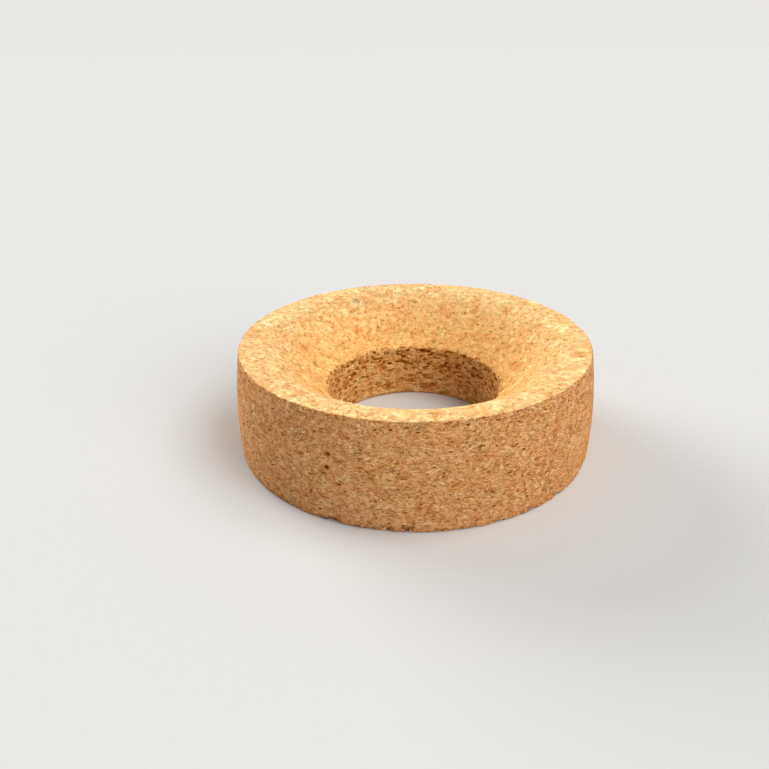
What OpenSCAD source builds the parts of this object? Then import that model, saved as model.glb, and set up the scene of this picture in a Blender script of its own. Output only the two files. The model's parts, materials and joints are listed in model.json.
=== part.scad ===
// Cork flask ring: one turned ring of pressed cork granules. It stands on a
// bench and holds a round-bottomed flask in the countersunk seat in its top.
// Millimetres. The ring stands on z = 0 and is centred on the Z axis.

/* [Ring] */
// Height of the ring, foot to top face
height = 32; // [28:0.5:45]
// Outer diameter where the wall meets the top face
top_d = 106.2; // [104:0.2:125]
// Outer diameter where the wall meets the bench
base_d = 109.2; // [104:0.2:125]
// How far the wall swells past the straight line from foot to top
wall_belly = 1; // [0.2:0.1:3]

/* [Bore] */
// Diameter of the straight hole through the middle
bore_d = 53; // [40:0.5:62]

/* [Seat] */
// Diameter at which the seat's slope would meet the top face
seat_d = 88.8; // [80:0.2:92]
// Slope of the seat, in degrees up from level
seat_angle = 40; // [30:0.5:45]
// Radius of the soft shoulder between the seat and the top face
shoulder_r = 16; // [2:0.5:18]

/* [Edges] */
// Radius on the outer edge of the top face
top_edge_r = 0.5; // [0.2:0.1:2]
// Radius on the outer edge of the foot
foot_edge_r = 0.6; // [0.2:0.1:2]
// Radius where the seat turns down into the bore
throat_edge_r = 0.6; // [0.2:0.1:3]
// Radius on the bore's edge at the foot
bore_foot_edge_r = 0.6; // [0.2:0.1:2]

/* [Hidden] */
cork = "#c9935c";
$fn = 240;

top_r = top_d / 2;
base_r = base_d / 2;
bore_r = bore_d / 2;

// The wall is one arc through the foot and top corners, belly proud of its chord.
foot_corner = [base_r, 0];
top_corner = [top_r, height];
wall_chord = norm(top_corner - foot_corner);
wall_arc_r = (pow(wall_chord / 2, 2) + pow(wall_belly, 2)) / (2 * wall_belly);
wall_inward = [-height, top_r - base_r] / wall_chord;
wall_centre = (foot_corner + top_corner) / 2 + (wall_arc_r - wall_belly) * wall_inward;

// The seat is a cone through seat_corner on the top face and throat on the bore.
seat_dir = [cos(seat_angle), sin(seat_angle)];
seat_corner = [seat_d / 2, height];
throat = [bore_r, height - (seat_d / 2 - bore_r) * tan(seat_angle)];
seat_run = norm(seat_corner - throat);

// The shoulder's arc ends before the top edge outside and the throat inside.
shoulder_reach = min(shoulder_r * tan(seat_angle / 2),
                     top_r - 2 * top_edge_r - seat_corner.x,
                     seat_run - 2 * throat_edge_r);
shoulder = shoulder_reach / tan(seat_angle / 2);

// How far a cutting shape stands clear of the surface that it cuts.
clear = 2;
// How far a blend's arc crosses its edges, where it would otherwise just touch.
hair = 0.0003;

// What comes off a sharp corner when its two edges, which leave it along the
// unit vectors u and v, are blended with an arc of radius r.
module blend_waste(corner, u, v, r) {
    half = acos(u * v) / 2;
    into = (u + v) / norm(u + v);
    centre = corner + into * (r / sin(half) - hair);
    to_u = (corner + u * r / tan(half) - centre) / r;
    to_v = (corner + v * r / tan(half) - centre) / r;
    difference() {
        polygon([
            centre,
            centre + to_u * (r + clear),
            corner - into * clear,
            centre + to_v * (r + clear),
        ]);
        translate(centre) circle(r = r);
    }
}

// What comes off the wall's corner with a level face at height z, when the arc of
// the wall and the face are blended with radius r. up is 1 for a top face and -1
// for a foot.
module wall_blend_waste(corner, z, up, r) {
    rise = z - up * (r - hair) - wall_centre.y;
    centre = wall_centre + [sqrt(pow(wall_arc_r - r + hair, 2) - pow(rise, 2)), rise];
    out = (centre - wall_centre) / norm(centre - wall_centre);
    difference() {
        polygon([
            centre,
            [centre.x, z],
            [centre.x, z + up * clear],
            corner + [clear, up * clear],
            centre + out * (r + clear),
        ]);
        translate(centre) circle(r = r);
    }
}

// The blank's half section: the bellied wall outside, the straight bore inside.
module blank_section() {
    intersection() {
        translate(wall_centre) circle(r = wall_arc_r, $fn = 720);
        translate([bore_r, 0]) square([base_r + top_r, height]);
    }
}

// Everything above the seat's slope.
module seat_cut() {
    polygon([
        throat - seat_dir * clear,
        seat_corner + seat_dir * clear,
        seat_corner + seat_dir * clear - [seat_d / 2, 0],
    ]);
}

// The half section that the lathe leaves, with every corner eased.
module ring_section() {
    difference() {
        blank_section();
        seat_cut();
        blend_waste(seat_corner, [1, 0], -seat_dir, shoulder);
        blend_waste(throat, seat_dir, [0, -1], throat_edge_r);
        blend_waste([bore_r, 0], [1, 0], [0, 1], bore_foot_edge_r);
        wall_blend_waste(top_corner, height, 1, top_edge_r);
        wall_blend_waste(foot_corner, 0, -1, foot_edge_r);
    }
}

module cork_ring() {
    color(cork)
        rotate_extrude()
            ring_section();
}

cork_ring();
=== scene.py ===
"""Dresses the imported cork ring: one ring of pressed cork granules, turned to shape."""
import json
import math

import bpy
from mathutils import Matrix, Vector


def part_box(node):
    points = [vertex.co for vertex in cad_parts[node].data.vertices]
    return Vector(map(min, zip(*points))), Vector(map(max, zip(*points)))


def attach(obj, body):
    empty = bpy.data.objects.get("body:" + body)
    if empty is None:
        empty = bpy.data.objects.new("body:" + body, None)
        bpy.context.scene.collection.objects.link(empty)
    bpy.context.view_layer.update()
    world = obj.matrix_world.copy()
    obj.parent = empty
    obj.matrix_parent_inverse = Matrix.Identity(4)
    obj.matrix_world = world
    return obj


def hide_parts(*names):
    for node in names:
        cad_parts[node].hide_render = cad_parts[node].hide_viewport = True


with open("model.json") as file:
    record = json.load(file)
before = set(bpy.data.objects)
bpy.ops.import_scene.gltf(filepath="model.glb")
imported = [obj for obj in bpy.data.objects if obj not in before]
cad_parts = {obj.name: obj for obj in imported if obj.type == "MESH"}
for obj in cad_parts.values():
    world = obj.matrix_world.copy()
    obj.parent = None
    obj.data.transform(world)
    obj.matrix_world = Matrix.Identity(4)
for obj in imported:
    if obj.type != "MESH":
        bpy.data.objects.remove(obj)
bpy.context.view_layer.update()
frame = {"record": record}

# ---------------------------------------------------------------- sizes, in metres

MM = 0.001

NODE = "cork_ring"
RING_LOW, RING_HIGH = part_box(NODE)
HEIGHT = RING_HIGH.z - RING_LOW.z
MOUNTS = {mount["name"]: mount for mount in frame["record"]["mounts"]}
BORE_R = MOUNTS["bore"]["dims"]["r_mm"] * MM

TOP_R = 53.1 * MM               # where the wall meets the top face
BASE_R = 54.6 * MM              # where the wall meets the bench
WALL_BELLY = 1.0 * MM           # how far the wall swells past the straight line between them
SEAT_R = 44.4 * MM              # where the seat's slope would meet the top face
SEAT_SLOPE = math.radians(40)
SHOULDER_R = 16.0 * MM          # soft shoulder between seat and top face
TOP_EDGE_R = 0.5 * MM
FOOT_EDGE_R = 0.6 * MM
THROAT_EDGE_R = 0.6 * MM
BORE_FOOT_EDGE_R = 0.6 * MM

ROW = 0.66 * MM                 # spacing of the mesh rows along the section
BORE_ROW = 0.33 * MM            # closer in the bore, where the cork is torn
FOOT_ROW = 2.5 * MM             # and wider under the foot, apart from its crumbled rim
FOOT_RIM = 3.0 * MM
ROUND_STEPS = 580               # steps of the lathe round the axis
WELD = 0.01 * MM                # points closer than this become one

# ---------------------------------------------------------------- small helpers

MATH = "ShaderNodeMath"
VECTOR = "ShaderNodeVectorMath"
RANGE = "ShaderNodeMapRange"
MIX = "ShaderNodeMix"
NOISE = "ShaderNodeTexNoise"
CELLS = "ShaderNodeTexVoronoi"
PARTS = "ShaderNodeSeparateXYZ"
RAMP = "ShaderNodeValToRGB"

# The inputs of a Map Range node, which gives 0 to 1 where no other range is set.
VALUE, FROM_MIN, FROM_MAX, TO_MIN, TO_MAX = range(5)
# The inputs of a Mix node: its share, and a pair for each type of data.
SHARE = 0
A_NUMBER, B_NUMBER = 2, 3
A_VECTOR, B_VECTOR = 4, 5
A_COLOUR, B_COLOUR = 6, 7


def deselect_all():
    """Nothing stays selected, and no object is in edit mode."""
    if bpy.context.object and bpy.context.object.mode != "OBJECT":
        bpy.ops.object.mode_set(mode="OBJECT")
    bpy.ops.object.select_all(action="DESELECT")


def linear(hex_colour):
    """An sRGB hex value as a linear RGBA colour."""
    channels = [int(hex_colour[i:i + 2], 16) / 255 for i in (1, 3, 5)]
    return [c / 12.92 if c <= 0.04045 else ((c + 0.055) / 1.055) ** 2.4 for c in channels] + [1]


def add(tree, kind, inputs=None, stops=(), **settings):
    """Adds one node with its settings and returns its first output that is in use. Each
    input is linked, where the value is an output, or else set. A ramp also takes its stops."""
    node = tree.nodes.new(kind)
    for name, value in settings.items():
        setattr(node, name, value)
    for key, value in (inputs or {}).items():
        if isinstance(value, bpy.types.NodeSocket):
            tree.links.new(value, node.inputs[key])
        else:
            node.inputs[key].default_value = value
    if stops:
        points = node.color_ramp.elements
        points.remove(points[1])
        points[0].position, points[0].color = stops[0][0], linear(stops[0][1])
        for at, colour in stops[1:]:
            points.new(at).color = linear(colour)
    return next((output for output in node.outputs if output.enabled), None)


# ---------------------------------------------------------------- the turned blank


def start_outline(point):
    """A new object with one vertex at point, in edit mode."""
    deselect_all()
    bpy.ops.mesh.primitive_plane_add(size=MM, location=(0, 0, 0))
    ring = bpy.context.object
    bpy.ops.object.mode_set(mode="EDIT")
    bpy.ops.mesh.select_all(action="SELECT")
    bpy.ops.mesh.merge(type="CENTER")
    bpy.ops.transform.translate(value=(point.x, 0, point.y))
    return ring


def run_to(start, end, row=ROW):
    """Draws the outline straight from start to end, in equal rows."""
    rows = max(1, round((end - start).length / row))
    step = (end - start) / rows
    for _ in range(rows):
        bpy.ops.mesh.extrude_region_move(TRANSFORM_OT_translate={"value": (step.x, 0, step.y)})


def turn_round(centre, radius, angle, row=ROW):
    """Draws the outline along an arc about centre, turning towards the inside of the section."""
    rows = max(3, round(radius * angle / row))
    bpy.ops.mesh.spin(steps=rows, angle=angle, center=(centre.x, 0, centre.y), axis=(0, -1, 0))


def half_section():
    """An object with the ring's half section drawn in it as one closed outline. A point of
    the section is its radius and its height."""
    top_corner, foot_corner = Vector((TOP_R, HEIGHT)), Vector((BASE_R, 0))
    chord = top_corner - foot_corner
    wall_r = ((chord.length / 2) ** 2 + WALL_BELLY ** 2) / (2 * WALL_BELLY)
    inward = Vector((-chord.y, chord.x)).normalized()
    wall_centre = (top_corner + foot_corner) / 2 + inward * (wall_r - WALL_BELLY)

    def edge_centre(height, radius):
        """The centre, at that height, of the small arc that eases an edge of the wall."""
        rise = height - wall_centre.y
        return Vector((wall_centre.x + math.sqrt((wall_r - radius) ** 2 - rise ** 2), height))

    top_edge = edge_centre(HEIGHT - TOP_EDGE_R, TOP_EDGE_R)
    foot_edge = edge_centre(FOOT_EDGE_R, FOOT_EDGE_R)
    top_lean = math.atan2(top_edge.y - wall_centre.y, top_edge.x - wall_centre.x)
    foot_lean = math.atan2(foot_edge.y - wall_centre.y, foot_edge.x - wall_centre.x)

    slope = Vector((math.cos(SEAT_SLOPE), math.sin(SEAT_SLOPE)))
    seat_corner = Vector((SEAT_R, HEIGHT))
    throat = Vector((BORE_R, HEIGHT - (SEAT_R - BORE_R) * math.tan(SEAT_SLOPE)))
    turn_at_throat = math.pi / 2 - SEAT_SLOPE
    throat_reach = THROAT_EDGE_R * math.tan(turn_at_throat / 2)
    shoulder_reach = SHOULDER_R * math.tan(SEAT_SLOPE / 2)

    # up the bore and the seat to the top face
    bore_low = Vector((BORE_R, BORE_FOOT_EDGE_R))
    bore_high = throat - Vector((0, throat_reach))
    ring = start_outline(bore_low)
    run_to(bore_low, bore_high, BORE_ROW)
    turn_round(bore_high + Vector((THROAT_EDGE_R, 0)), THROAT_EDGE_R, turn_at_throat, BORE_ROW)
    run_to(throat + slope * throat_reach, seat_corner - slope * shoulder_reach)
    land = seat_corner + Vector((shoulder_reach, 0))
    turn_round(land - Vector((0, SHOULDER_R)), SHOULDER_R, SEAT_SLOPE)

    # out across the top face and down the wall
    run_to(land, Vector((top_edge.x, HEIGHT)))
    turn_round(top_edge, TOP_EDGE_R, math.pi / 2 - top_lean)
    turn_round(wall_centre, wall_r, top_lean - foot_lean)
    turn_round(foot_edge, FOOT_EDGE_R, math.pi / 2 + foot_lean)

    # back in under the foot
    foot_end = Vector((BORE_R + BORE_FOOT_EDGE_R, 0))
    foot_rim = Vector((foot_edge.x, 0))
    fine_to = foot_rim - Vector((FOOT_RIM, 0))
    run_to(foot_rim, fine_to)
    run_to(fine_to, foot_end, FOOT_ROW)
    turn_round(foot_end + Vector((0, BORE_FOOT_EDGE_R)), BORE_FOOT_EDGE_R, math.pi / 2)
    bpy.ops.mesh.select_all(action="SELECT")
    bpy.ops.mesh.remove_doubles(threshold=WELD)
    bpy.ops.object.mode_set(mode="OBJECT")
    return ring


def turned_blank():
    """The ring as it leaves the lathe: its half section turned round the axis."""
    ring = half_section()
    lathe = ring.modifiers.new("lathe", "SCREW")
    lathe.steps = lathe.render_steps = ROUND_STEPS
    lathe.use_merge_vertices = True
    lathe.merge_threshold = WELD
    bpy.ops.object.modifier_apply(modifier=lathe.name)
    bpy.ops.object.mode_set(mode="EDIT")
    bpy.ops.mesh.select_all(action="SELECT")
    bpy.ops.mesh.remove_doubles(threshold=WELD)
    bpy.ops.mesh.normals_make_consistent(inside=False)
    bpy.ops.object.mode_set(mode="OBJECT")
    bpy.ops.object.shade_smooth()
    ring.name = "turned_cork"
    return ring


# ---------------------------------------------------------------- the granules
# Lengths in this part and the next two are in millimetres. Each function adds nodes to a tree
# and works alike in the shape and in the material, so that colour and relief fall together.

GRANULES = ((1.1, 0.0), (2.1, 0.5), (3.9, 0.64))  # size, and the share that smaller ones keep
PRESSED_FLAT = 1.8              # pressing leaves them this much wider than high
CRUMB = 1.5                     # width of the crumbs that show in the torn bore
CRUMB_FLAT = 2.0
CRUMB_GAP = (0.02, 0.3)         # gaps between crumbs are whole up to here, and end here
SWIRL_SPAN = 3                  # a noise strays about a third from 0.5: this makes that the reach
CLOUD_BORDER = (0.62, 0.72)     # between these values of a noise a patch begins, for cover 0,
CLOUD_DROP = 0.3                # and this much lower for cover 1
SMALLEST_PIT = 0.3              # of the widest one's radius
PIT_SLOPE = 0.4                 # a pit is deepest this far in, as a share of the same
MARK_FULL, MARK_GONE = 0.3, 0.6  # how far from its centre a mark is whole and gone, by its size
RAGGED = 4.0                    # how far the edge of the torn bore wanders, times a noise
TORN_FULL, TORN_GONE = 1.7, 1.2  # below the bore's radius, where its look is whole and is gone
WALL_BLEND = 0.6                # the wall's look starts this far inside the top edge


def stirred(tree, place, spacing, reach):
    """place, pushed about by up to about reach in swirls that lie spacing apart."""
    swirl = add(tree, NOISE, {"Vector": place, "Scale": 1 / spacing, "Detail": 1.0})
    centred = add(tree, VECTOR, {0: swirl.node.outputs["Color"], 1: (0.5, 0.5, 0.5)},
                  operation="SUBTRACT")
    return add(tree, VECTOR, {0: centred, 1: (SWIRL_SPAN * reach,) * 3, 2: place},
               operation="MULTIPLY_ADD")


def granules(tree, place):
    """The pressed granules: three random numbers for each, and how far in from its edge
    place lies. Coarse ones lie among fine ones, with curled outlines."""
    bent = stirred(tree, stirred(tree, place, spacing=4.0, reach=0.7), spacing=1.1, reach=0.18)
    pressed = add(tree, VECTOR, {0: bent, 1: (1, 1, PRESSED_FLAT)}, operation="MULTIPLY")
    kind, edge = None, None
    for size, share in GRANULES:
        here = {"Vector": pressed, "Scale": 1 / size}
        next_kind = add(tree, CELLS, here, feature="F1").node.outputs["Color"]
        rim = add(tree, CELLS, here, feature="DISTANCE_TO_EDGE")
        next_edge = add(tree, MATH, {0: rim, 1: size}, operation="MULTIPLY")
        if kind is None:
            kind, edge = next_kind, next_edge
            continue
        chance = add(tree, PARTS, {0: next_kind}).node.outputs["Z"]
        chosen = add(tree, MATH, {0: chance, 1: share}, operation="GREATER_THAN")
        kind = add(tree, MIX, {SHARE: chosen, A_VECTOR: kind, B_VECTOR: next_kind},
                   data_type="VECTOR")
        edge = add(tree, MIX, {SHARE: chosen, A_NUMBER: edge, B_NUMBER: next_edge},
                   data_type="FLOAT")
    return kind, edge


def crumbs(tree, place):
    """The crumbs that the cutter left standing in the bore: how deep each lies, from 0 to 1,
    and the share of place in a gap between them."""
    bent = stirred(tree, stirred(tree, place, spacing=3.5, reach=0.5), spacing=1.0, reach=0.2)
    pressed = add(tree, VECTOR, {0: bent, 1: (1, 1, CRUMB_FLAT)}, operation="MULTIPLY")
    here = {"Vector": pressed, "Scale": 1 / CRUMB}
    kind = add(tree, CELLS, here, feature="F1").node.outputs["Color"]
    level = add(tree, PARTS, {0: kind})
    rim = add(tree, CELLS, here, feature="DISTANCE_TO_EDGE")
    gap = add(tree, RANGE, {VALUE: rim, FROM_MIN: CRUMB_GAP[0], FROM_MAX: CRUMB_GAP[1],
                            TO_MIN: 1.0, TO_MAX: 0.0}, interpolation_type="SMOOTHSTEP")
    return level, gap


def patchy(tree, place, spacing, cover):
    """1 in patches that lie spacing apart and 0 between them, with soft borders. cover runs
    from 0 for few patches to 1 for nearly all patch."""
    cloud = add(tree, NOISE, {"Vector": place, "Scale": 1 / spacing, "Detail": 2.0})
    starts, ends = (border - CLOUD_DROP * cover for border in CLOUD_BORDER)
    return add(tree, RANGE, {VALUE: cloud, FROM_MIN: starts, FROM_MAX: ends},
               interpolation_type="SMOOTHSTEP")


def pits(tree, place, spacing, flat, share, radius):
    """Holes where a crumb fell out: how deep place lies in one, from 0 at its rim to 1. Of
    the cells of that spacing, that share holds one, up to radius and flat times wider than
    high."""
    squashed = add(tree, VECTOR, {0: place, 1: (1, 1, flat)}, operation="MULTIPLY")
    off = add(tree, CELLS, {"Vector": squashed, "Scale": 1 / spacing})
    chance = add(tree, PARTS, {0: off.node.outputs["Color"]})
    size = add(tree, RANGE, {VALUE: chance, FROM_MIN: 1 - share, FROM_MAX: 1.0,
                             TO_MIN: SMALLEST_PIT * radius / spacing, TO_MAX: radius / spacing})
    held = add(tree, MATH, {0: chance, 1: 1 - share}, operation="GREATER_THAN")
    inside = add(tree, MATH, {0: size, 1: off}, operation="SUBTRACT")
    inside = add(tree, RANGE, {VALUE: inside, FROM_MIN: 0.0,
                               FROM_MAX: PIT_SLOPE * radius / spacing})
    return add(tree, MATH, {0: inside, 1: held}, operation="MULTIPLY")


def at_marks(tree, place, marks):
    """1 on each of the marks and 0 off them. A mark has an angle right of the front, a radius
    and a height for its centre, and a size."""
    loose = stirred(tree, place, spacing=1.0, reach=0.25)
    inside = 0.0
    for degrees, radius, height, size in marks:
        angle = math.radians(degrees)
        centre = (radius * math.sin(angle), -radius * math.cos(angle), height)
        off = add(tree, VECTOR, {0: loose, 1: centre}, operation="DISTANCE")
        here = add(tree, RANGE, {VALUE: off, FROM_MIN: MARK_FULL * size,
                                 FROM_MAX: MARK_GONE * size, TO_MIN: 1.0, TO_MAX: 0.0})
        inside = add(tree, MATH, {0: here, 1: inside}, operation="MAXIMUM")
    return inside


def regions(tree, place):
    """The share of place in the torn bore and on the outer wall, and its radius and height.
    The torn look ends raggedly, about half a millimetre out from the bore."""
    height = add(tree, PARTS, {0: place}).node.outputs["Z"]
    level = add(tree, VECTOR, {0: place, 1: (1, 1, 0)}, operation="MULTIPLY")
    radius = add(tree, VECTOR, {0: level}, operation="LENGTH")
    ragged = add(tree, NOISE, {"Vector": place, "Scale": 0.6, "Detail": 3.0})
    reach = add(tree, MATH, {0: ragged, 1: -RAGGED, 2: radius}, operation="MULTIPLY_ADD")
    bore_r = BORE_R / MM
    bore = add(tree, RANGE, {VALUE: reach, FROM_MIN: bore_r - TORN_FULL,
                             FROM_MAX: bore_r - TORN_GONE, TO_MIN: 1.0, TO_MAX: 0.0},
               interpolation_type="SMOOTHSTEP")
    wall = add(tree, RANGE, {VALUE: radius, FROM_MIN: TOP_R / MM - WALL_BLEND,
                             FROM_MAX: TOP_R / MM},
               interpolation_type="SMOOTHSTEP")
    return bore, wall, radius, height


# ---------------------------------------------------------------- relief

SANDED_OFF = 0.03               # the whole surface lies this far inside the blank
SEAM_WIDTH = 0.5                # from the granule's edge inwards
SEAM_DEPTH = 0.08               # of the open seams between granules
UNEVEN = 0.20                   # depth of the low spots, times a noise
TOP_REACH = (0.5, 1.6)          # how far from the top edge the loss is whole, and is gone
TOP_LOOSE = (0.55, 0.95)        # a granule with more than the first for its random number is
TOP_LOSS = 0.35                 # worn, and has lost this much from the second on
FOOT_REACH = (0.7, 2.0)         # the same for the foot's edge
FOOT_LOOSE = (0.35, 0.85)
FOOT_LOSS = 0.30                # most that the foot's edge loses,
CHIP_LOSS = 1.6                 # and how much more it loses in a chip
FOOT_CHIPS = ((-24, 5), (-10, 2.5), (-4, 2), (33, 4), (41, 5))  # degrees right of front, spread
CRUMB_STEP = 0.30               # from the bore's most proud crumb to its deepest
CRUMB_LOOSE = (0.6, 1.0)        # crumbs deeper than the first begin to be torn out,
CRUMB_GONE = 0.5                # and at the last lie this much deeper again
GAP_DEPTH = 0.40                # of the gaps between the bore's crumbs
TORN_FROM, TORN_TO = 1.0, 13.0  # heights between which the tearing grows,
TORN_LOW, TORN_HIGH = 0.22, 0.58  # from one share of these depths to the other


def crumbled_edges(tree, place, kind, radius, height):
    """How far crumbs have broken off the two outer edges: a little in patches along the top,
    and all round the foot, with more in its chips."""
    section = add(tree, "ShaderNodeCombineXYZ", {0: radius, 1: height})
    loose = add(tree, PARTS, {0: kind}).node.outputs[0]
    rim = add(tree, VECTOR, {0: section, 1: (TOP_R / MM, HEIGHT / MM, 0)}, operation="DISTANCE")
    rim = add(tree, RANGE, {VALUE: rim, FROM_MIN: TOP_REACH[0], FROM_MAX: TOP_REACH[1],
                            TO_MIN: 1.0, TO_MAX: 0.0}, interpolation_type="SMOOTHSTEP")
    lost = add(tree, RANGE, {VALUE: loose, FROM_MIN: TOP_LOOSE[0], FROM_MAX: TOP_LOOSE[1],
                             TO_MIN: 0.0, TO_MAX: TOP_LOSS}, interpolation_type="SMOOTHSTEP")
    lost = add(tree, MATH, {0: lost, 1: patchy(tree, place, spacing=8.0, cover=0.45)},
               operation="MULTIPLY")
    rim_loss = add(tree, MATH, {0: rim, 1: lost}, operation="MULTIPLY")

    foot = add(tree, VECTOR, {0: section, 1: (BASE_R / MM, 0, 0)}, operation="DISTANCE")
    foot = add(tree, RANGE, {VALUE: foot, FROM_MIN: FOOT_REACH[0], FROM_MAX: FOOT_REACH[1],
                             TO_MIN: 1.0, TO_MAX: 0.0}, interpolation_type="SMOOTHSTEP")
    level = add(tree, VECTOR, {0: place, 1: (1, 1, 0)}, operation="MULTIPLY")
    outward = add(tree, VECTOR, {0: level}, operation="NORMALIZE")
    chipped = 0.0
    for degrees, spread in FOOT_CHIPS:
        angle = math.radians(degrees)
        towards = (math.sin(angle), -math.cos(angle), 0)
        facing = add(tree, VECTOR, {0: outward, 1: towards}, operation="DOT_PRODUCT")
        there = add(tree, RANGE, {VALUE: facing, FROM_MIN: math.cos(math.radians(spread)),
                                  FROM_MAX: 1.0})
        chipped = add(tree, MATH, {0: there, 1: chipped}, operation="MAXIMUM")
    most = add(tree, MATH, {0: chipped, 1: CHIP_LOSS, 2: FOOT_LOSS}, operation="MULTIPLY_ADD")
    lost = add(tree, RANGE, {VALUE: loose, FROM_MIN: FOOT_LOOSE[0], FROM_MAX: FOOT_LOOSE[1]},
               interpolation_type="SMOOTHSTEP")
    foot_loss = add(tree, MATH, {0: foot, 1: lost}, operation="MULTIPLY")
    foot_loss = add(tree, MATH, {0: foot_loss, 1: most}, operation="MULTIPLY")
    return add(tree, MATH, {0: rim_loss, 1: foot_loss}, operation="ADD")


def torn_out(tree, place, height):
    """How far the torn bore lies behind its straight wall: each crumb at its own depth, some
    of them gone, with gaps between. The cutter tore most near the throat."""
    level, gap = crumbs(tree, place)
    gone = add(tree, RANGE, {VALUE: level, FROM_MIN: CRUMB_LOOSE[0], FROM_MAX: CRUMB_LOOSE[1],
                             TO_MIN: 0.0, TO_MAX: CRUMB_GONE}, interpolation_type="SMOOTHSTEP")
    depth = add(tree, MATH, {0: level, 1: CRUMB_STEP, 2: gone}, operation="MULTIPLY_ADD")
    depth = add(tree, MATH, {0: gap, 1: GAP_DEPTH, 2: depth}, operation="MULTIPLY_ADD")
    looser = add(tree, RANGE, {VALUE: height, FROM_MIN: TORN_FROM, FROM_MAX: TORN_TO,
                               TO_MIN: TORN_LOW, TO_MAX: TORN_HIGH})
    return add(tree, MATH, {0: depth, 1: looser}, operation="MULTIPLY")


def relief_depth(tree, place):
    """How deep the surface lies under the turned blank: seams between granules, low spots,
    crumbs torn out of the bore, and crumbled edges."""
    kind, edge = granules(tree, place)
    bore, _, radius, height = regions(tree, place)
    seam = add(tree, RANGE, {VALUE: edge, FROM_MIN: 0.0, FROM_MAX: SEAM_WIDTH, TO_MIN: 1.0,
                             TO_MAX: 0.0}, interpolation_type="SMOOTHSTEP")
    opened = patchy(tree, place, spacing=5.0, cover=0.5)
    open_seam = add(tree, MATH, {0: seam, 1: opened}, operation="MULTIPLY")
    low = add(tree, NOISE, {"Vector": place, "Scale": 0.35, "Detail": 3.0})
    sanded = add(tree, MATH, {0: open_seam, 1: SEAM_DEPTH}, operation="MULTIPLY")
    sanded = add(tree, MATH, {0: low, 1: UNEVEN, 2: sanded}, operation="MULTIPLY_ADD")
    crumbled = crumbled_edges(tree, place, kind, radius, height)
    sanded = add(tree, MATH, {0: sanded, 1: crumbled}, operation="ADD")
    torn = torn_out(tree, place, height)
    depth = add(tree, MIX, {SHARE: bore, A_NUMBER: sanded, B_NUMBER: torn}, data_type="FLOAT")
    return add(tree, MATH, {0: depth, 1: SANDED_OFF}, operation="ADD")


def roughen(ring):
    """Sinks the relief into the turned blank, so that nothing stands proud of it. Each point
    keeps its place on the blank and its depth under it, which the finish reads."""
    tree = bpy.data.node_groups.new("cork_relief", "GeometryNodeTree")
    tree.interface.new_socket("Geometry", in_out="INPUT", socket_type="NodeSocketGeometry")
    tree.interface.new_socket("Geometry", in_out="OUTPUT", socket_type="NodeSocketGeometry")
    blank = add(tree, "NodeGroupInput")
    position = add(tree, "GeometryNodeInputPosition")
    place = add(tree, VECTOR, {0: position, "Scale": 1 / MM}, operation="SCALE")
    depth = relief_depth(tree, place)
    sink = add(tree, MATH, {0: depth, 1: -MM}, operation="MULTIPLY")
    outward = add(tree, "GeometryNodeInputNormal")
    offset = add(tree, VECTOR, {0: outward, "Scale": sink}, operation="SCALE")
    kept = add(tree, "GeometryNodeStoreNamedAttribute",
               {"Geometry": blank, "Name": "place", "Value": place},
               data_type="FLOAT_VECTOR", domain="POINT")
    kept = add(tree, "GeometryNodeStoreNamedAttribute",
               {"Geometry": kept, "Name": "depth", "Value": depth},
               data_type="FLOAT", domain="POINT")
    sunk = add(tree, "GeometryNodeSetPosition", {"Geometry": kept, "Offset": offset})
    add(tree, "NodeGroupOutput", {0: sunk})
    modifier = ring.modifiers.new("relief", "NODES")
    modifier.node_group = tree
    bpy.context.view_layer.objects.active = ring
    bpy.ops.object.modifier_apply(modifier=modifier.name)


# ---------------------------------------------------------------- the finish

# The granules' own colours run from a warm tan to pale, and some lean to yellow or to red.
TONES = ((0.0, "#F0B478"), (0.25, "#FDCA8D"), (0.6, "#FFDA9E"), (0.85, "#FFE1A7"),
         (1.0, "#FFE5AD"))
HUES = ((0.0, "#FAF5E0"), (0.25, "#FFFFFA"), (0.7, "#FFFDF8"), (0.93, "#FFF1E4"),
        (1.0, "#F5CFBA"))
MATRIX = "#FDCB8E"              # the fine crumbs between them
PLAIN = "#FFFFFF"
SEAT_TINT = "#FFF0D9"           # the seat is more orange towards the throat
WALL_BROWN_AND_SHADE = "#FAE2D9"           # the wall, cut across the granules, is browner, and also darkened as painted shade for its dimmer light
# the torn bore is browner still, and darker as painted shade for the deep hole
BORE_BROWN_AND_SHADE = "#F2D6B0"
STAIN = ("#FFFFF7", "#FFF9F3")  # patches lean a little to yellow or to red
GREY = "#C4A67E"

# Single marks: degrees right of the front, radius, height and size.
GREY_GRANULES = ((-153.5, 43.3, 30.4, 3.0), (-100, 31.8, 21.4, 3.0))
PINHOLES = ((-25.5, 54.5, 20.8, 1.3), (-26.0, 54.8, 17.0, 1.5))

# How much of each look the sanded top and seat have, and the wall.
HUED = (0.12, 0.2)              # share of its hue that a granule shows
SHADED = (0.77, 1.5)            # how far the flakes swing to light and dark
PALEST = (1.15, 2.0)            # how far the palest flakes outshine their granule's colour
LINED = (0.55, 0.75)            # strength of the curled lines
PITTED = (0.50, 0.82)           # strength of the pits
ROUGH = (0.36, 1.35)            # height of the fine relief
BORE_ROUGH = 1.5

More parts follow.
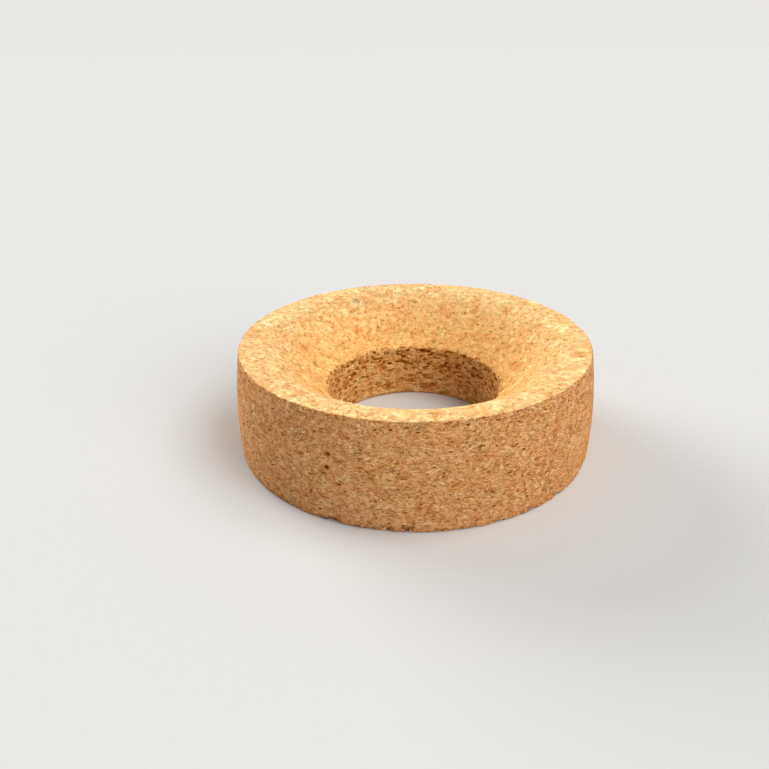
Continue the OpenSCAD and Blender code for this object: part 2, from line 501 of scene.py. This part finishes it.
FLAKE_LAYERS = 7.0              # growth layers told apart within a granule
SPECKLED, LAYERED = 0.6, 1.4    # shares of the speckle and of the layers in the flakes' swing
FLAKE_FORM = (0.6, 0.6, 2.2)    # flakes are thin across the growth layers and long along them
FLAKE_RISE = (0.55, 0.85)       # the part of a layer over which one flake steps up to the next
FLAKE_EDGE = 0.7                # the middle of that step, where the seam lies,
EDGE_SPAN = (0.08, 0.3)         # which is whole this near to it and gone this far off
MOTTLE = (0.86, 1.14)           # soft light and dark over a few granules
SOFT_LIMIT = 0.2                # how gently the palest flakes are held back
SUNK_EDGE = (0.45, 0.75)        # a granule's edge this wide takes on this much of the matrix
WALL_ALIKE = 0.40               # and on the wall all of a granule takes on at least this much
GREYED = 0.7                    # how grey the grey granules are
UNCRUMBLY = 0.6                 # strength of the curled lines away from the crumbly patches
NEAR_TOP = (6, 1)               # they strengthen between these depths below the top face
SEAT_FADE = (2, 6)              # the seat's tint fades from this far out of the bore to this
                                # far inside the top edge
UNDERSIDE = (0.3, 1.0)          # and the foot's ends between these heights
LINE_SHADE = 0.35               # light that a curled line leaves,
PAINTED_PIT_SHADE = 0.1                 # and the bottom of a pit, as painted shade,
PAINTED_GAP_SHADE = 0.27                # and a gap between the bore's crumbs, as painted shade
PAINTED_CRUMB_LIGHT = (1.75, 0.62)     # painted light on the bore's most proud crumbs, and painted shade on its deepest
GAP_DEPTHS = (0.22, 0.65)       # depths at which the painted shade in the bore's gaps begins and is darkest
LINE_DEPTH = 0.18               # fine relief that a curled line takes away,
PIT_DEPTH = 0.30                # and a pit
RED_POWER, BLUE_POWER = 0.62, 1.70


def granule_colour(tree, kind, edge, wall):
    """Each granule's own colour, which sinks into the finer crumbs round it."""
    tone, hue, _ = add(tree, PARTS, {0: kind}).node.outputs
    hued = add(tree, MIX, {SHARE: wall, A_NUMBER: HUED[0], B_NUMBER: HUED[1]}, data_type="FLOAT")
    hue = add(tree, RAMP, {0: hue}, stops=HUES)
    hue = add(tree, MIX, {SHARE: hued, A_COLOUR: linear(PLAIN), B_COLOUR: hue}, data_type="RGBA")
    tone = add(tree, RAMP, {0: tone}, stops=TONES)
    colour = add(tree, MIX, {SHARE: 1.0, A_COLOUR: tone, B_COLOUR: hue},
                 data_type="RGBA", blend_type="MULTIPLY")
    sunk = add(tree, RANGE, {VALUE: edge, FROM_MIN: 0.0, FROM_MAX: SUNK_EDGE[0],
                             TO_MIN: SUNK_EDGE[1], TO_MAX: 0.0}, interpolation_type="SMOOTHSTEP")
    alike = add(tree, MATH, {0: wall, 1: WALL_ALIKE}, operation="MULTIPLY")
    sunk = add(tree, MATH, {0: sunk, 1: alike}, operation="MAXIMUM")
    return add(tree, MIX, {SHARE: sunk, A_COLOUR: colour, B_COLOUR: linear(MATRIX)},
               data_type="RGBA")


def growth_layers(tree, place, kind):
    """The bark's growth layers, which lie each granule's own way and were cut into thin
    flakes: how high each flake lies, from 0 to 1, and the seam along its border."""
    lean = add(tree, VECTOR, {0: kind, 1: (0.5, 0.5, 0.5)}, operation="SUBTRACT")
    own_way = add(tree, "ShaderNodeVectorRotate", {"Vector": place, "Rotation": lean},
                  rotation_type="EULER_XYZ")
    stretched = add(tree, VECTOR, {0: own_way, 1: FLAKE_FORM}, operation="MULTIPLY")
    cloud = add(tree, NOISE, {"Vector": stretched, "Scale": 1.0, "Detail": 2.5, "Roughness": 0.55})
    count = add(tree, MATH, {0: cloud, 1: FLAKE_LAYERS}, operation="MULTIPLY")
    across = add(tree, MATH, {0: count}, operation="FRACT")
    whole = add(tree, MATH, {0: count, 1: across}, operation="SUBTRACT")
    rise = add(tree, RANGE, {VALUE: across, FROM_MIN: FLAKE_RISE[0], FROM_MAX: FLAKE_RISE[1]},
               interpolation_type="SMOOTHSTEP")
    risen = add(tree, MATH, {0: whole, 1: rise}, operation="ADD")
    layer = add(tree, MATH, {0: risen, 1: FLAKE_LAYERS}, operation="DIVIDE")
    off = add(tree, MATH, {0: across, 1: FLAKE_EDGE}, operation="SUBTRACT")
    off = add(tree, MATH, {0: off}, operation="ABSOLUTE")
    seam = add(tree, RANGE, {VALUE: off, FROM_MIN: EDGE_SPAN[0], FROM_MAX: EDGE_SPAN[1],
                             TO_MIN: 1.0, TO_MAX: 0.0}, interpolation_type="SMOOTHSTEP")
    return layer, seam


def curled_lines(tree, place, border, wall, height):
    """The strength of the short curled lines, which are broken stretches of the flakes'
    borders. They are strongest in crumbly patches and under the top edge."""
    crumbly = patchy(tree, place, spacing=5.0, cover=0.5)
    near_edge = add(tree, RANGE, {VALUE: height, FROM_MIN: HEIGHT / MM - NEAR_TOP[0],
                                  FROM_MAX: HEIGHT / MM - NEAR_TOP[1]},
                    interpolation_type="SMOOTHSTEP")
    crumbly = add(tree, MATH, {0: crumbly, 1: near_edge}, operation="MAXIMUM")
    crumbly = add(tree, RANGE, {VALUE: crumbly, TO_MIN: UNCRUMBLY, TO_MAX: 1.0})
    lined = add(tree, MIX, {SHARE: wall, A_NUMBER: LINED[0], B_NUMBER: LINED[1]}, data_type="FLOAT")
    strength = add(tree, MATH, {0: crumbly, 1: lined}, operation="MULTIPLY")
    here = patchy(tree, place, spacing=1.5, cover=0.5)
    broken = add(tree, MATH, {0: border, 1: here}, operation="MULTIPLY")
    return add(tree, MATH, {0: broken, 1: strength}, operation="MULTIPLY")


def pits_and_slits(tree, place, wall):
    """The strength of the painted shade in holes: round pits, flat slits and the pinholes."""
    loose = stirred(tree, place, spacing=0.7, reach=0.12)
    hole = pits(tree, loose, spacing=1.9, flat=1.4, share=0.7, radius=0.55)
    looser = stirred(tree, loose, spacing=3.0, reach=0.5)
    slit = pits(tree, looser, spacing=3.8, flat=3.0, share=0.8, radius=1.0)
    dark = add(tree, MATH, {0: hole, 1: slit}, operation="MAXIMUM")
    pitted = add(tree, MIX, {SHARE: wall, A_NUMBER: PITTED[0], B_NUMBER: PITTED[1]},
                 data_type="FLOAT")
    dark = add(tree, MATH, {0: dark, 1: pitted}, operation="MULTIPLY")
    pinholes = at_marks(tree, place, PINHOLES)
    return add(tree, MATH, {0: dark, 1: pinholes}, operation="MAXIMUM")


def zone_tint_and_shade(tree, bore, wall, radius, height):
    """A colour to multiply by: more orange towards the throat, browner and darkened with painted
    shade on the wall and under the foot, and brownest in the bore, partly as painted shade for the
    deep hole."""
    inner = add(tree, RANGE, {VALUE: radius, FROM_MIN: BORE_R / MM + SEAT_FADE[0],
                              FROM_MAX: TOP_R / MM - SEAT_FADE[1],
                              TO_MIN: 1.0, TO_MAX: 0.0}, interpolation_type="SMOOTHSTEP")
    tint = add(tree, MIX, {SHARE: inner, A_COLOUR: linear(PLAIN), B_COLOUR: linear(SEAT_TINT)},
               data_type="RGBA")
    under = add(tree, RANGE, {VALUE: height, FROM_MIN: UNDERSIDE[0], FROM_MAX: UNDERSIDE[1],
                              TO_MIN: 1.0, TO_MAX: 0.0})
    # the wall and the foot's underside take the wall's browner colour, with its painted shade
    browner_and_shaded = add(tree, MATH, {0: wall, 1: under}, operation="MAXIMUM")
    tint = add(tree, MIX, {SHARE: browner_and_shaded, A_COLOUR: tint, B_COLOUR: linear(WALL_BROWN_AND_SHADE)},
               data_type="RGBA")
    # the bore takes the brownest colour, partly painted shade for the deep hole
    return add(tree, MIX, {SHARE: bore, A_COLOUR: tint, B_COLOUR: linear(BORE_BROWN_AND_SHADE)},
               data_type="RGBA")


def torn_painted_light(tree, place, depth, bore):
    """Painted light and shade on the torn bore: proud crumbs painted pale, gaps between them dark.
    """
    level, _ = crumbs(tree, place)
    proud = add(tree, RANGE, {VALUE: level, TO_MIN: PAINTED_CRUMB_LIGHT[0], TO_MAX: PAINTED_CRUMB_LIGHT[1]})
    sunk = add(tree, RANGE, {VALUE: depth, FROM_MIN: GAP_DEPTHS[0], FROM_MAX: GAP_DEPTHS[1],
                             TO_MIN: 1.0, TO_MAX: PAINTED_GAP_SHADE})
    torn = add(tree, MATH, {0: proud, 1: sunk}, operation="MULTIPLY")
    return add(tree, MIX, {SHARE: bore, A_NUMBER: 1.0, B_NUMBER: torn}, data_type="FLOAT")


def warm(tree, shade):
    """shade as a colour to multiply by: what is darker is redder too, and what is paler is
    yellower, since the same brown stains the cork more or less."""
    red = add(tree, MATH, {0: shade, 1: RED_POWER}, operation="POWER")
    blue = add(tree, MATH, {0: shade, 1: BLUE_POWER}, operation="POWER")
    return add(tree, "ShaderNodeCombineXYZ", {"X": red, "Y": shade, "Z": blue})


def pressed_cork():
    """Agglomerated cork, turned and sanded: matt and warm, with pale granules of many sizes in
    finer crumbs, short curled lines and flecks where the cut crosses their skins and growth
    layers, and pits where crumbs fell out, dark with painted shade. The bore is torn, with
    painted shade in the gaps between crumbs and painted light on the proud ones."""
    material = bpy.data.materials.new("pressed_cork")
    material.use_nodes = True
    tree = material.node_tree
    tree.nodes.clear()
    place = add(tree, "ShaderNodeAttribute", attribute_name="place").node.outputs["Vector"]
    depth = add(tree, "ShaderNodeAttribute", attribute_name="depth").node.outputs["Fac"]
    kind, edge = granules(tree, place)
    bore, wall, radius, height = regions(tree, place)

    # the granules' colours, with broad stains, grey granules and each zone's tint, which holds
    # painted shade on the wall and in the bore
    colour = granule_colour(tree, kind, edge, wall)
    patch = add(tree, NOISE, {"Vector": place, "Scale": 0.25, "Detail": 1.0})
    patch = add(tree, RANGE, {VALUE: patch, FROM_MIN: 0.35, FROM_MAX: 0.65})
    stain = add(tree, MIX, {SHARE: patch, A_COLOUR: linear(STAIN[0]), B_COLOUR: linear(STAIN[1])},
                data_type="RGBA")
    colour = add(tree, MIX, {SHARE: 1.0, A_COLOUR: colour, B_COLOUR: stain},
                 data_type="RGBA", blend_type="MULTIPLY")
    grey = at_marks(tree, place, GREY_GRANULES)
    grey = add(tree, MATH, {0: grey, 1: GREYED}, operation="MULTIPLY")
    colour = add(tree, MIX, {SHARE: grey, A_COLOUR: colour, B_COLOUR: linear(GREY)},
                 data_type="RGBA")
    tint = zone_tint_and_shade(tree, bore, wall, radius, height)
    colour = add(tree, MIX, {SHARE: 1.0, A_COLOUR: colour, B_COLOUR: tint},
                 data_type="RGBA", blend_type="MULTIPLY")

    # fine speckle and the growth layers shade them, in a swing about nought
    pressed = add(tree, VECTOR, {0: place, 1: (1, 1, PRESSED_FLAT)}, operation="MULTIPLY")
    speckle = add(tree, NOISE, {"Vector": pressed, "Scale": 1.4, "Detail": 2.0, "Roughness": 0.6})
    mottle = add(tree, NOISE, {"Vector": place, "Scale": 0.55, "Detail": 2.0})
    layers, border = growth_layers(tree, place, kind)
    strong = add(tree, MIX, {SHARE: wall, A_NUMBER: SHADED[0], B_NUMBER: SHADED[1]},
                 data_type="FLOAT")
    swing = add(tree, MATH, {0: speckle, 1: SPECKLED, 2: -1.0}, operation="MULTIPLY_ADD")
    swing = add(tree, MATH, {0: layers, 1: LAYERED, 2: swing}, operation="MULTIPLY_ADD")
    shade = add(tree, MATH, {0: swing, 1: strong, 2: 1.0}, operation="MULTIPLY_ADD")
    mottled = add(tree, RANGE, {VALUE: mottle, FROM_MIN: 0.3, FROM_MAX: 0.7, TO_MIN: MOTTLE[0],
                                TO_MAX: MOTTLE[1]})
    shade = add(tree, MATH, {0: shade, 1: mottled}, operation="MULTIPLY")
    palest = add(tree, MIX, {SHARE: wall, A_NUMBER: PALEST[0], B_NUMBER: PALEST[1]},
                 data_type="FLOAT")
    shade = add(tree, MATH, {0: shade, 1: palest, 2: SOFT_LIMIT}, operation="SMOOTH_MIN")

    # lines, painted shade in the pits, and painted light and shade on the torn bore shade it
    # further
    curl = curled_lines(tree, place, border, wall, height)
    line = add(tree, RANGE, {VALUE: curl, TO_MIN: 1.0, TO_MAX: LINE_SHADE})
    shade = add(tree, MATH, {0: shade, 1: line}, operation="MULTIPLY")
    dark = pits_and_slits(tree, place, wall)
    pit = add(tree, RANGE, {VALUE: dark, TO_MIN: 1.0, TO_MAX: PAINTED_PIT_SHADE})
    shade = add(tree, MATH, {0: shade, 1: pit}, operation="MULTIPLY")
    torn = torn_painted_light(tree, place, depth, bore)
    shade = add(tree, MATH, {0: shade, 1: torn}, operation="MULTIPLY")
    colour = add(tree, VECTOR, {0: colour, 1: warm(tree, shade)}, operation="MULTIPLY")

    # fine relief
    rough = add(tree, MIX, {SHARE: wall, A_NUMBER: ROUGH[0], B_NUMBER: ROUGH[1]}, data_type="FLOAT")
    rough = add(tree, MIX, {SHARE: bore, A_NUMBER: rough, B_NUMBER: BORE_ROUGH}, data_type="FLOAT")
    relief = add(tree, MATH, {0: swing, 1: rough}, operation="MULTIPLY")
    relief = add(tree, MATH, {0: curl, 1: -LINE_DEPTH, 2: relief}, operation="MULTIPLY_ADD")
    relief = add(tree, MATH, {0: dark, 1: -PIT_DEPTH, 2: relief}, operation="MULTIPLY_ADD")
    bump = add(tree, "ShaderNodeBump", {"Height": relief, "Strength": 1.0, "Distance": MM})
    shader = add(tree, "ShaderNodeBsdfPrincipled",
                 {"Base Color": colour, "Roughness": 0.9, "Normal": bump, "IOR": 1.4,
                  "Specular IOR Level": 0.05})
    add(tree, "ShaderNodeOutputMaterial", {0: shader})
    return material


# ---------------------------------------------------------------- the studio

FLOOR_R = 4.0
PALE = "#D2D1CE"
BACKDROP = "#EAE8E4"            # the floor's tone once it is lit
ROOM_LIGHT = 0.33               # strength of the room's light, where 1 lights a white wall to white

# The lamps: a low one behind the ring to the left, one in front to the right, and one overhead,
# a little to the right. Each has the direction in which it stands and its strength.
LAMPS = (("window", (-0.68, 0.68, 0.27), 3.5),
         ("right_fill", (0.61, -0.61, 0.50), 1.55),
         ("overhead", (0.50, 0.0, 0.87), 1.45))
LAMP_SPREAD = math.radians(40)  # each is as soft as a sheet that looks this wide

LENS = 34.70                    # mm
SENSOR = 36                     # mm
CAMERA_AT = Vector((-0.1425, -3.9485, 2.2315)) * TOP_R
CAMERA_PITCH = math.radians(26.00)
CAMERA_ROLL = math.radians(-0.665)
CAMERA_SHIFT = -0.00715


def camera():
    """Looks down on the ring from close by in front."""
    bpy.ops.object.camera_add(location=CAMERA_AT)
    made = bpy.context.object
    tilt = Matrix.Rotation(math.pi / 2 - CAMERA_PITCH, 4, "X")
    roll = Matrix.Rotation(CAMERA_ROLL, 4, "Z")
    made.matrix_world = Matrix.Translation(CAMERA_AT) @ tilt @ roll
    made.data.lens = LENS
    made.data.sensor_width = SENSOR
    made.data.shift_x = CAMERA_SHIFT
    made.data.clip_start = 0.01
    bpy.context.scene.camera = made


def far_lamp(name, towards, strength):
    """A lamp so far off in the direction towards that it lights all of the floor alike."""
    bpy.ops.object.light_add(type="SUN", location=Vector(towards).normalized())
    lamp = bpy.context.object
    lamp.name = name
    lamp.data.energy = strength
    lamp.data.angle = LAMP_SPREAD
    lamp.rotation_mode = "QUATERNION"
    lamp.rotation_quaternion = Vector(towards).to_track_quat("Z", "Y")


def pale_floor():
    """A plain, matt, pale floor, wide enough to run out of every view."""
    deselect_all()
    bpy.ops.mesh.primitive_circle_add(vertices=96, radius=FLOOR_R, fill_type="NGON")
    floor = bpy.context.object
    floor.name = "floor"
    paint = bpy.data.materials.new("pale_floor")
    paint.use_nodes = True
    shader = paint.node_tree.nodes["Principled BSDF"]
    shader.inputs["Base Color"].default_value = linear(PALE)
    shader.inputs["Roughness"].default_value = 0.9
    shader.inputs["Specular IOR Level"].default_value = 0.0
    floor.data.materials.append(paint)


def room():
    """Soft light from all round, and a backdrop of the floor's own lit tone, which only the
    camera, reflections and clear pieces see."""
    world = bpy.data.worlds.new("room")
    bpy.context.scene.world = world
    world.use_nodes = True
    tree = world.node_tree
    tree.nodes.clear()
    ray = add(tree, "ShaderNodeLightPath").node.outputs
    seen = add(tree, MATH, {0: ray["Is Camera Ray"], 1: ray["Is Glossy Ray"]}, operation="MAXIMUM")
    seen = add(tree, MATH, {0: seen, 1: ray["Is Transmission Ray"]}, operation="MAXIMUM")
    light = add(tree, "ShaderNodeBackground", {0: linear("#FFFFFF"), 1: ROOM_LIGHT})
    backdrop = add(tree, "ShaderNodeBackground", {0: linear(BACKDROP), 1: 1.0})
    both = add(tree, "ShaderNodeMixShader", {0: seen, 1: light, 2: backdrop})
    add(tree, "ShaderNodeOutputWorld", {0: both})


# ---------------------------------------------------------------- putting it together

ring = turned_blank()
roughen(ring)
ring.data.materials.append(pressed_cork())
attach(ring, "root")
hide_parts(NODE)

camera()
pale_floor()
for lamp_name, stands_towards, lamp_strength in LAMPS:
    far_lamp(lamp_name, stands_towards, lamp_strength)
room()
bpy.context.scene.view_settings.view_transform = "Standard"
